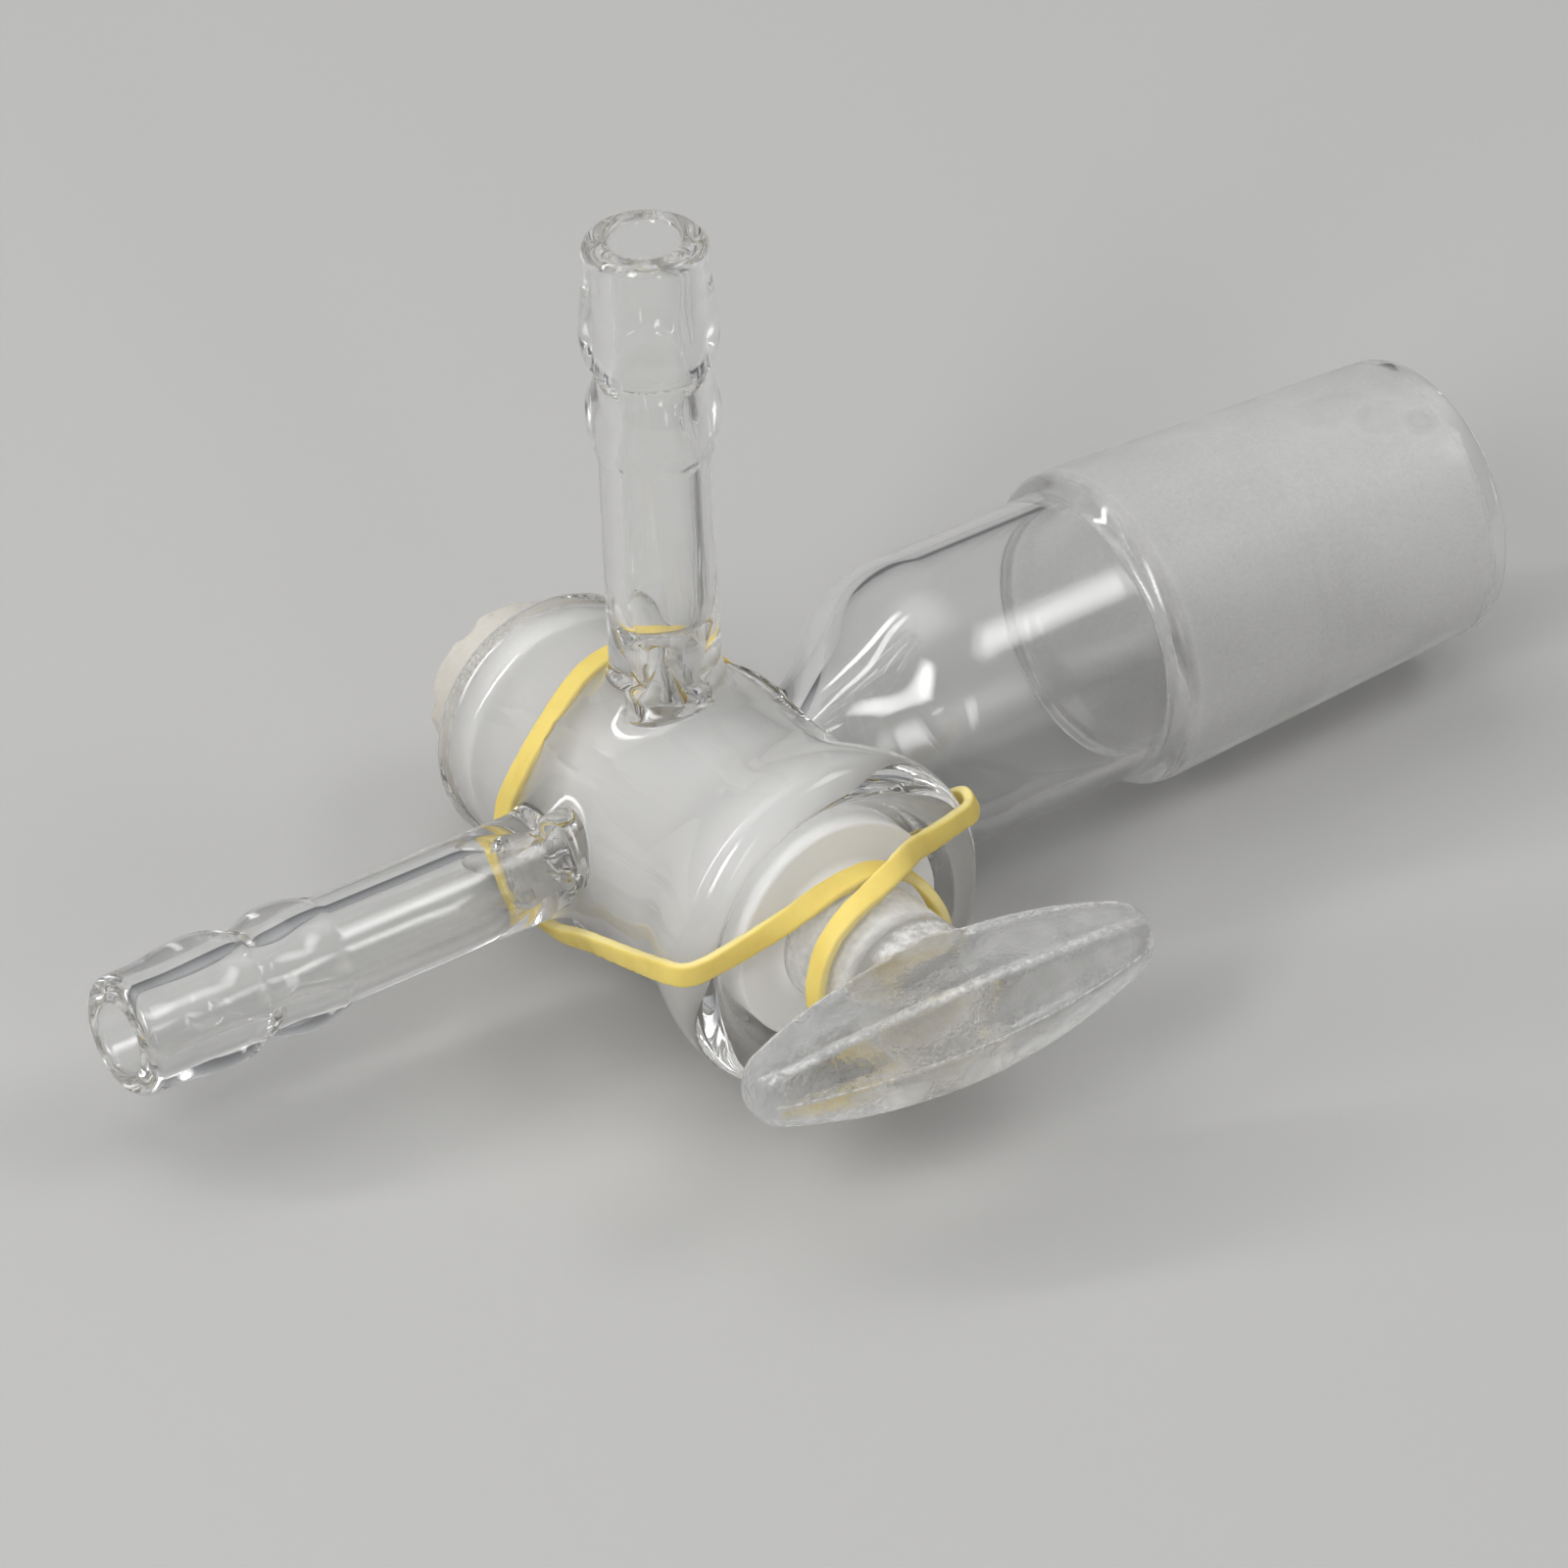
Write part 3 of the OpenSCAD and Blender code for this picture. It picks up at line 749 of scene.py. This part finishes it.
def ground_glass(shader, place, axis_place, radius, tint, uneven, grain, clearness, scatter):
    """Matt ground glass, softly clouded, with a fine grain, a few specks and the grinding's lines.

    The lines run round an axis, as noise of the place along it and the radius about it.
    A share of the light, the clearness, goes through bent. A share of the whole, the
    scatter, goes through in all directions. The tint's darkest place is uneven below it.
    """
    lines = shader.node("ShaderNodeCombineXYZ", {}, {0: axis_place * 1.7, 1: radius})
    lines = shader.noise(lines, 1.2, detail=1.0)
    grit = shader.noise(place, 3.7, detail=2.0, roughness=0.7, distortion=1.2)
    cloud = shader.noise(place, 0.15, detail=1.5, roughness=0.45)
    speck = step_up(shader.noise(place, 2.3, detail=0.0), 0.80, 0.05)
    shade = ((cloud - 0.5) * 2.0 + (grit - 0.5) * (2.4 * grain)
             + (lines - 0.5) * (0.3 * grain) + 0.5).clamp()
    colour_here = shader.mix(shade, rgba([c - uneven for c in tint]), rgba(tint))
    bent = shader.principled({
        "Base Color": colour_here, "Roughness": 0.42 + 0.22 * grit, "IOR": GLASS_IOR,
        "Transmission Weight": clearness,
        "Normal": shader.bump(grit + lines * 0.15, 0.3 * grain, 0.00004)})
    haze = shader.node("ShaderNodeBsdfTranslucent", {}, {"Color": colour_here})
    share_here = (scatter + 0.3 * (cloud - 0.5) + speck * 0.4).clamp()
    return shader.blend(share_here, bent, haze)


def body_glass(settings):
    """Clear lampworked glass, ground matt on the outside of the cone and in the barrel's bore."""
    shader = new_shader("body_glass")
    place, x, y, z = shader.place()
    cone, barrel, finish = settings.cone, settings.barrel, settings.finish
    about_level = (y * y + z * z).sqrt()
    about_key = (x * x + z * z).sqrt()
    start, end = cone.joint_start / MM, (cone.joint_start + cone.joint_len) / MM
    joint_r = cone.joint_d / 2 / MM - (x - start) * (cone.taper / 2)
    wander = (shader.noise(place, 0.5) - 0.5) * 0.9
    on_cone = (step_up(about_level, joint_r - 0.8, 0.3)
               * step_up(x + wander * 0.4, start - 0.5, 1.2)
               * (1 - step_up(x + wander * 0.5, end - GROUND_SHORT, 0.6)))
    for centre, radii, depth in RUBBED:
        rubbed = (near(shader, place, centre, radii) * (2 + wander * 3)).clamp()
        on_cone = on_cone * (1 - rubbed * depth)
    bore_r = barrel.bore_mid_d / 2 / MM - y * (barrel.bore_taper / 2)
    in_bore = ((1 - step_up(about_key, bore_r + 0.12, 0.1))
               * (1 - step_up(0 - y, (barrel.front - barrel.front_bead_d) / MM + 0.4, 0.4)))
    cone_matt = ground_glass(shader, place, x, about_level, finish.ground, **CONE_MATT)
    bore_matt = ground_glass(shader, place, y, about_key, finish.key, **KEY_MATT)
    outside = shader.blend(on_cone, clear_glass(shader, finish), cone_matt)
    return shader.finish(shader.blend(in_bore, outside, bore_matt))


def handle_creases(p, x, y, z):
    """1 along the handle's pressed edges and 0 away from them.

    Each face bends to an arc along the handle, so its half width at x is the
    arc's height there. An edge is where two faces' distances are both near zero.
    """
    mm = 1 / MM
    turn = math.atan2((p.handle_depth - p.flat_depth) / 2, p.handle_height / 2)

    def gap(half, across):
        arc_r = plan_arcs(p, half, mm)[2]
        return (arc_r**2 - x * x).sqrt() - (arc_r - half) - across

    up = z.size()
    deep = (y + p.handle_centre * mm).size()
    flat = gap(p.handle_height * mm / 2, up)
    slant = gap(p.handle_depth * mm / 2 * math.cos(turn),
                deep * math.cos(turn) + up * math.sin(turn))
    pressed = 1 - step_up(flat.most(slant), 0.35, 0.5)
    seam = (1 - step_up(up, 0.14, 0.2)) * (1 - step_up(slant, 0.3, 0.3))
    return pressed.most(seam)


def plug_glass(settings):
    """Clear pressed glass, ground matt on the key, and worn along the handle's edges. The key's end
    behind the barrel is the same frost, with a darker tint painted as shade.
    """
    shader = new_shader("plug_glass")
    place, x, y, z = shader.place()
    p, finish = settings.plug, settings.finish
    about_key = (x * x + z * z).sqrt()
    key_r = p.mid_d / 2 / MM - y * (p.taper / 2)
    forward, stem_end = 0 - y, (p.handle_centre - p.handle_depth / 2) / MM
    side = step_up(about_key, key_r - 0.15, 0.1)
    front = (step_up(forward, p.front / MM - 0.15, 0.1)
             * step_up(about_key, p.stem_d / 2 / MM + 0.02, 0.1))
    back = step_up(y, p.back / MM - 0.9, 0.3)
    past_key = step_up(forward, p.front / MM + p.stem_fillet / MM, 0.1)
    streaks = (shader.noise(place, 1.1) * 1.6 - 0.2).clamp()
    haze = (1 - step_up(forward, stem_end - 0.6, 1.2)) * (0.35 + 0.4 * streaks)
    on_key = (side.most(front).most(back) * (1 - past_key)).most(haze * past_key)
    on_handle = step_up(forward, stem_end + 0.5, 1.0)
    skin_pits = shader.noise(place, 2.2, detail=2.0)
    worn = handle_creases(p, x, y, z) * (shader.noise(place, 1.6) * 2.2 - 0.5).clamp()
    clear = clear_glass(shader, finish, Roughness=0.02 + on_handle * (0.06 + 0.12 * skin_pits),
                        Normal=shader.bump(skin_pits * on_handle, 0.4, 0.00015))
    milky = (shader.noise(place, 0.28, detail=1.0) * 2.4 - 0.75).clamp() * 0.5
    worn = (worn * 0.75).most(step_up(0 - z, 0.8, 1.4) * milky) * on_handle
    matt = ground_glass(shader, place, y, about_key, finish.key, **KEY_MATT)
    # Past the barrel's back the key's frost takes a darker tint: painted shade on the end that
    # stands out in the lamps' direct light
    shaded_end_matt = ground_glass(shader, place, y, about_key, finish.key_end_shade, **KEY_END_MATT)
    behind = step_up(y, settings.barrel.back / MM - 0.2, 0.6)
    matt = shader.blend(behind, matt, shaded_end_matt)
    return shader.finish(shader.blend(on_key.most(worn), clear, matt))


def elastic(settings):
    """Pale yellow elastic, a little see-through, worn in places, and paler at its thin edges as
    painted light showing through them.
    """
    shader = new_shader("band_rubber")
    finish = settings.finish
    place = shader.place()[0]
    edge = shader.node("ShaderNodeAttribute", {"attribute_name": "thin_edge"}, {}, "Fac")
    blotch = shader.noise(place, 0.5, detail=4.0)
    speck = shader.noise(place, 5.0, detail=2.0)
    tint = shader.mix((blotch - 0.42) * 1.5, rgba(finish.elastic), rgba(finish.elastic_worn))
    # Paler thin edges: painted light showing through the band
    tint = shader.mix(edge * 0.8, tint, rgba(finish.elastic_lit_edge))
    return shader.finish(shader.principled({
        "Base Color": tint, "Roughness": 0.5 + 0.2 * speck, "IOR": ELASTIC_IOR,
        "Subsurface Weight": 0.35, "Subsurface Radius": (0.8, 0.6, 0.3), "Subsurface Scale": 0.001,
        "Normal": shader.bump(blotch + speck * 0.4, 0.3, 0.00008)}))


def matt_floor(settings):
    """Plain pale floor with a fine grain."""
    shader = new_shader("floor")
    grain, floor = shader.noise(shader.place()[0], 2.5, detail=2.0), settings.finish.floor
    tint = shader.mix(grain, rgba([c * 0.985 for c in floor]), rgba(floor))
    return shader.finish(shader.principled({
        "Base Color": tint, "Roughness": 0.75}))


# ---- band

def band_route(settings):
    """Centre line of the band, in mm and degrees.

    Each point is the distance from the key's axis, the angle, the distance forward, and
    the turn of the flat side from facing the key's axis to facing forward.
    """
    mm = 1 / MM
    hose, barrel, plug, band = settings.hose, settings.barrel, settings.plug, settings.band
    side_r, rim_r, front = barrel.mid_d * mm / 2, barrel.front_rim_d * mm / 2, barrel.front * mm
    turn_r = (plug.stem_d / 2 + band.slack + band.thickness / 2) * mm
    turn_at = (plug.front + plug.handle_centre - plug.handle_depth / 2) * mm / 2
    # The band passes behind the connectors' roots, 0.3 mm outside the barrel's wall
    fillet = hose.root_fillet * mm
    drawn = fillet / 2 - 0.3
    root_r = hose.tube_d * mm / 2 + fillet - math.sqrt(fillet**2 - drawn**2)
    behind = -root_r - band.width * mm / 2 - 0.2
    return [
        # From the front rim on the cone's side to the stem
        (rim_r - 1.4, 28.5, front + 0.6, 75), (rim_r - 4, 40.5, front + 1.7, 60),
        (turn_r + 1.8, 54, turn_at - 1.2, 50), (turn_r + 1.2, 72, turn_at + 0.4, 40),
        # Once round the stem, from the handle's end to the key's
        (turn_r + 0.2, 94, turn_at + 1.1, 20), (turn_r, 122, turn_at + 1.4, 5),
        (turn_r, 152, turn_at + 1.5, 0), (turn_r, 190, turn_at + 1.5, 0),
        (turn_r, 230, turn_at + 1.4, 0), (turn_r, 272, turn_at + 1.1, 0),
        (turn_r, 316, turn_at + 0.6, 0), (turn_r, 360, turn_at, 0),
        (turn_r, 400, turn_at - 0.8, 0), (turn_r, 432, turn_at - 1.4, 5),
        (turn_r, 466, turn_at - 1.5, 20),
        # Over the front rim on the side connector's side
        (turn_r + 1.5, 506, front + 2, 50), (rim_r - 1.5, 529, front + 0.6, 75),
        (rim_r + 0.15, 533, front - 0.2, 45), (rim_r + 0.7, 535, front - 2, 0),
        # Along the barrel, under the side connector and up behind it
        (side_r + 2.7, 544, 13, 0), (side_r + 2.1, 557, 6, 0), (side_r + 2.3, 566, 1, 0),
        (side_r + 2.1, 564, -3, 0), (side_r + 0.9, 552, behind + 0.3, 0),
        (side_r + 0.5, 535, behind, 0), (side_r + 0.5, 516, behind + 0.9, 0),
        # Over the barrel behind the upright connector
        (side_r + 0.3, 492, behind + 1, 0), (side_r + 0.15, 469, behind + 0.1, 0),
        (side_r + 0.05, 450, behind - 0.3, 0), (side_r + 0.15, 431, behind + 0.1, 0),
        (side_r + 0.3, 408, behind + 1, 0),
        # Down behind the cone's root and forward to the rim
        (side_r + 0.5, 384, behind + 0.9, 0), (side_r + 0.5, 365, behind + 0.1, 0),
        (side_r + 0.9, 348, behind, 0), (side_r + 2.2, 336, -3.1, 0), (side_r + 2.8, 332, 1, 0),
        (side_r + 2.1, 345, 6, 0), (side_r + 2.5, 365, 13, 0),
        (rim_r + 0.7, 382, front - 2, 0), (rim_r + 0.1, 384, front - 0.2, 45)]


def closed_curve(anchors, steps):
    """A smooth closed curve through anchor points: each span is the cubic of its four anchors."""
    a, b = np.roll(anchors, 1, 0), anchors
    c, d = np.roll(anchors, -1, 0), np.roll(anchors, -2, 0)
    t = (np.arange(steps) / steps)[None, :, None]
    a, b, c, d = (v[:, None, :] for v in (a, b, c, d))
    points = (b + t * (c - a) / 2 + t**2 * (a - 2.5 * b + 2 * c - d / 2)
              + t**3 * (1.5 * (b - c) + (d - a) / 2))
    return points.reshape(-1, anchors.shape[1])


def band_surface(settings, steps=12, around=28):
    """The band: a flat section carried along its closed route, scalloped in a worn stretch.

    The section is a superellipse: its points are the cosine and sine of an angle,
    each raised to a small power. Its flat side faces as the route says.
    Returns points, quads, and how near each point is to a thin edge.
    """
    band = settings.band
    route = np.array(band_route(settings), float)
    angle = np.radians(route[:, 1])
    anchors = np.stack([route[:, 0] * np.cos(angle) * MM, -route[:, 2] * MM,
                        route[:, 0] * np.sin(angle) * MM, np.radians(route[:, 3])], axis=1)
    curve = closed_curve(anchors, steps)
    line, lean = curve[:, :3], curve[:, 3:]
    along = unit(np.roll(line, -1, 0) - np.roll(line, 1, 0))
    facing = np.cos(lean) * unit(line * [1, 0, 1]) + np.sin(lean) * [0, -1, 0]
    outward = unit(facing - (facing * along).sum(1)[:, None] * along)
    across = np.cross(along, outward)
    travel = np.concatenate([[0], np.cumsum(np.linalg.norm(np.diff(line, axis=0), axis=1))])
    phase = travel / (travel[-1] + np.linalg.norm(line[0] - line[-1])) * 2 * math.pi
    uneven = 0.5 * np.sin(61 * phase + 2 * np.sin(7 * phase)) + 0.5 * np.sin(97 * phase + 1)
    station = np.arange(len(line)) / steps
    worn = np.clip(np.minimum(station - SCALLOPS[0], SCALLOPS[1] - station) * 2, 0, 1)
    bite = worn * SCALLOP_DEPTH * (1 - np.abs(np.sin(travel / SCALLOP_PITCH * math.pi)))
    t = np.arange(around) / around * 2 * math.pi
    wide = np.sign(np.cos(t)) * np.abs(np.cos(t))**0.35 * band.width / 2
    thick = np.sign(np.sin(t)) * np.abs(np.sin(t))**0.5 * band.thickness / 2
    wide = ((1 + 0.03 * uneven)[:, None] * wide
            + bite[:, None] * np.clip(-wide / band.width * 2, 0, 1))
    points = (line[:, None, :] + wide[..., None] * across[:, None, :]
              + thick[None, :, None] * outward[:, None, :])
    thin_edge = np.broadcast_to(np.abs(np.cos(t))**6, wide.shape)
    here = np.arange(wide.size).reshape(wide.shape)
    ahead = np.roll(here, -1, 0)
    quads = np.stack([here, ahead, np.roll(ahead, -1, 1), np.roll(here, -1, 1)], axis=-1)
    return points.reshape(-1, 3), quads.reshape(-1, 4), thin_edge.ravel()


# ---- operators

class STOPCOCK_OT_body(bpy.types.Operator):
    """Blow the body: barrel, connectors, neck and cone in one fused surface"""
    bl_idname = "stopcock.body"
    bl_label = "Glass body"

    def execute(self, context):
        settings = context.scene.stopcock
        piece = glass_piece("blown_body", body_field(settings), "glass_body", BODY_STEPS)
        piece.data.materials.append(body_glass(settings))
        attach(piece, "glass")
        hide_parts("glass_body")
        return {"FINISHED"}


class STOPCOCK_OT_plug(bpy.types.Operator):
    """Press and grind the plug: key, stem and handle in one surface"""
    bl_idname = "stopcock.plug"
    bl_label = "Plug"

    def execute(self, context):
        settings = context.scene.stopcock
        piece = glass_piece("ground_plug", plug_field(settings), "plug", PLUG_STEPS)
        piece.data.materials.append(plug_glass(settings))
        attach(piece, "plug")
        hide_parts("plug")
        return {"FINISHED"}


class STOPCOCK_OT_band(bpy.types.Operator):
    """Wind the elastic band round the stem and behind the arms"""
    bl_idname = "stopcock.band"
    bl_label = "Band"

    def execute(self, context):
        settings = context.scene.stopcock
        points, quads, thin_edge = band_surface(settings)
        piece = make_mesh("elastic_band", points + CROSSING, quads)
        worn = piece.data.attributes.new("thin_edge", "FLOAT", "POINT")
        worn.data.foreach_set("value", thin_edge.astype(np.float32))
        piece.data.materials.append(elastic(settings))
        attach(piece, "glass")
        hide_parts("rubber_band")
        return {"FINISHED"}


def rest_plane(settings):
    """The plane that the stopcock lies on: front rim, cone's large end and back rim touch it."""
    barrel, cone = settings.barrel, settings.cone
    front = Vector((0, barrel.front_bead_d / 2 - barrel.front, -barrel.front_rim_d / 2))
    back = Vector((0, barrel.back - barrel.back_bead_d / 2, -barrel.back_rim_d / 2))
    side = Vector((cone.joint_start, 0, -cone.joint_d / 2))
    normal = (side - front).cross(back - front).normalized()
    vertices = bpy.data.objects["blown_body"].data.vertices
    body = np.empty(len(vertices) * 3, np.float32)
    vertices.foreach_get("co", body)
    return normal, float((body.reshape(-1, 3) @ np.array(normal)).min())


def set_up(name, data, axes, place):
    """A lamp or camera at a place from the crossing, looking back along the last of its axes."""
    made = bpy.data.objects.new(name, data)
    bpy.context.scene.collection.objects.link(made)
    pose = Matrix(axes).transposed().to_4x4()
    pose.translation = Vector(CROSSING) + Vector(place)
    made.matrix_world = pose
    return made


def soft_lamp(name, place, along, size, power):
    """A rectangular lamp, brightest in its middle and fading out towards its edges."""
    lamp = bpy.data.lights.new(name, "AREA")
    lamp.shape = "RECTANGLE"
    lamp.size, lamp.size_y = size
    lamp.energy = power
    shader = Shader(lamp)
    u, v, _ = shader.parts(shader.node("ShaderNodeNewGeometry", {}, {}, "Parametric"))
    fade = u * (1 - u) * v * (1 - v) * 16
    glow = shader.node("ShaderNodeEmission", {}, {"Color": (1, 1, 1, 1), "Strength": fade})
    shader.finish(glow, "ShaderNodeOutputLight")
    back = Vector(place).normalized()
    side = Vector(along).cross(back).normalized()
    set_up(name, lamp, (side, back.cross(side), back), place)


def studio_air(scene):
    """Surroundings that are dim at the horizon and pale overhead."""
    scene.world = scene.world or bpy.data.worlds.new("studio")
    shader = Shader(scene.world)
    height = shader.parts(shader.node("ShaderNodeTexCoord", {}, {}, "Generated"))[2]
    tint = shader.mix(height.clamp(), HORIZON, OVERHEAD)
    shader.finish(shader.node("ShaderNodeBackground", {}, {"Color": tint, "Strength": 1.0}),
                  "ShaderNodeOutputWorld")


def light_paths(cycles):
    """Lets light cross the many walls of the glass, and be scattered between its ground faces."""
    cycles.max_bounces, cycles.transmission_bounces = 28, 24
    cycles.diffuse_bounces = cycles.glossy_bounces = 16


class STOPCOCK_OT_stage(bpy.types.Operator):
    """Lay the pale floor, set the soft lights and the camera"""
    bl_idname = "stopcock.stage"
    bl_label = "Stage"

    def execute(self, context):
        scene, settings = context.scene, context.scene.stopcock
        normal, lowest = rest_plane(settings)
        side = (Vector((1, 0, 0)) - normal * normal.x).normalized()
        up = normal.cross(side)
        corners = [normal * lowest + side * FLOOR_HALF * a + up * FLOOR_HALF * b
                   for a, b in ((-1, -1), (1, -1), (1, 1), (-1, 1))]
        floor = make_mesh("floor", np.array(corners), np.array([[0, 1, 2, 3]]))
        floor.data.materials.append(matt_floor(settings))

        studio_air(scene)
        for lamp in LAMPS:
            soft_lamp(*lamp)

        lens = bpy.data.cameras.new("camera")
        lens.lens, lens.sensor_width = FOCAL, SENSOR
        lens.clip_start, lens.clip_end = 0.01, 20
        turn, rise, roll = CAMERA_ANGLES
        back = Vector((math.sin(turn) * math.cos(rise), -math.cos(turn) * math.cos(rise),
                       math.sin(rise)))
        right = Vector((math.cos(turn), math.sin(turn), 0))
        above = back.cross(right)
        right, above = (right * math.cos(roll) + above * math.sin(roll),
                        above * math.cos(roll) - right * math.sin(roll))
        scene.camera = set_up("camera", lens, (right, above, back), CAMERA_PLACE)
        scene.view_settings.view_transform = "Standard"
        light_paths(scene.cycles)
        return {"FINISHED"}


class STOPCOCK_PT_panel(bpy.types.Panel):
    bl_idname = "STOPCOCK_PT_panel"
    bl_label = "Stopcock"
    bl_space_type = "VIEW_3D"
    bl_region_type = "UI"
    bl_category = "Stopcock"

    def draw(self, context):
        for step in STEPS:
            self.layout.operator(step.bl_idname)


STEPS = [STOPCOCK_OT_body, STOPCOCK_OT_plug, STOPCOCK_OT_band, STOPCOCK_OT_stage]
CLASSES = [BarrelSizes, HoseSizes, ConeSizes, PlugSizes, BandSizes, Finishes, StopcockSettings,
           *STEPS, STOPCOCK_PT_panel]


def register():
    for made in CLASSES:
        bpy.utils.register_class(made)
    bpy.types.Scene.stopcock = bpy.props.PointerProperty(type=StopcockSettings)


def unregister():
    del bpy.types.Scene.stopcock
    for made in reversed(CLASSES):
        bpy.utils.unregister_class(made)


def main():
    register()
    bpy.ops.stopcock.body()
    bpy.ops.stopcock.plug()
    bpy.ops.stopcock.band()
    bpy.ops.stopcock.stage()


if __name__ == "__main__":
    main()
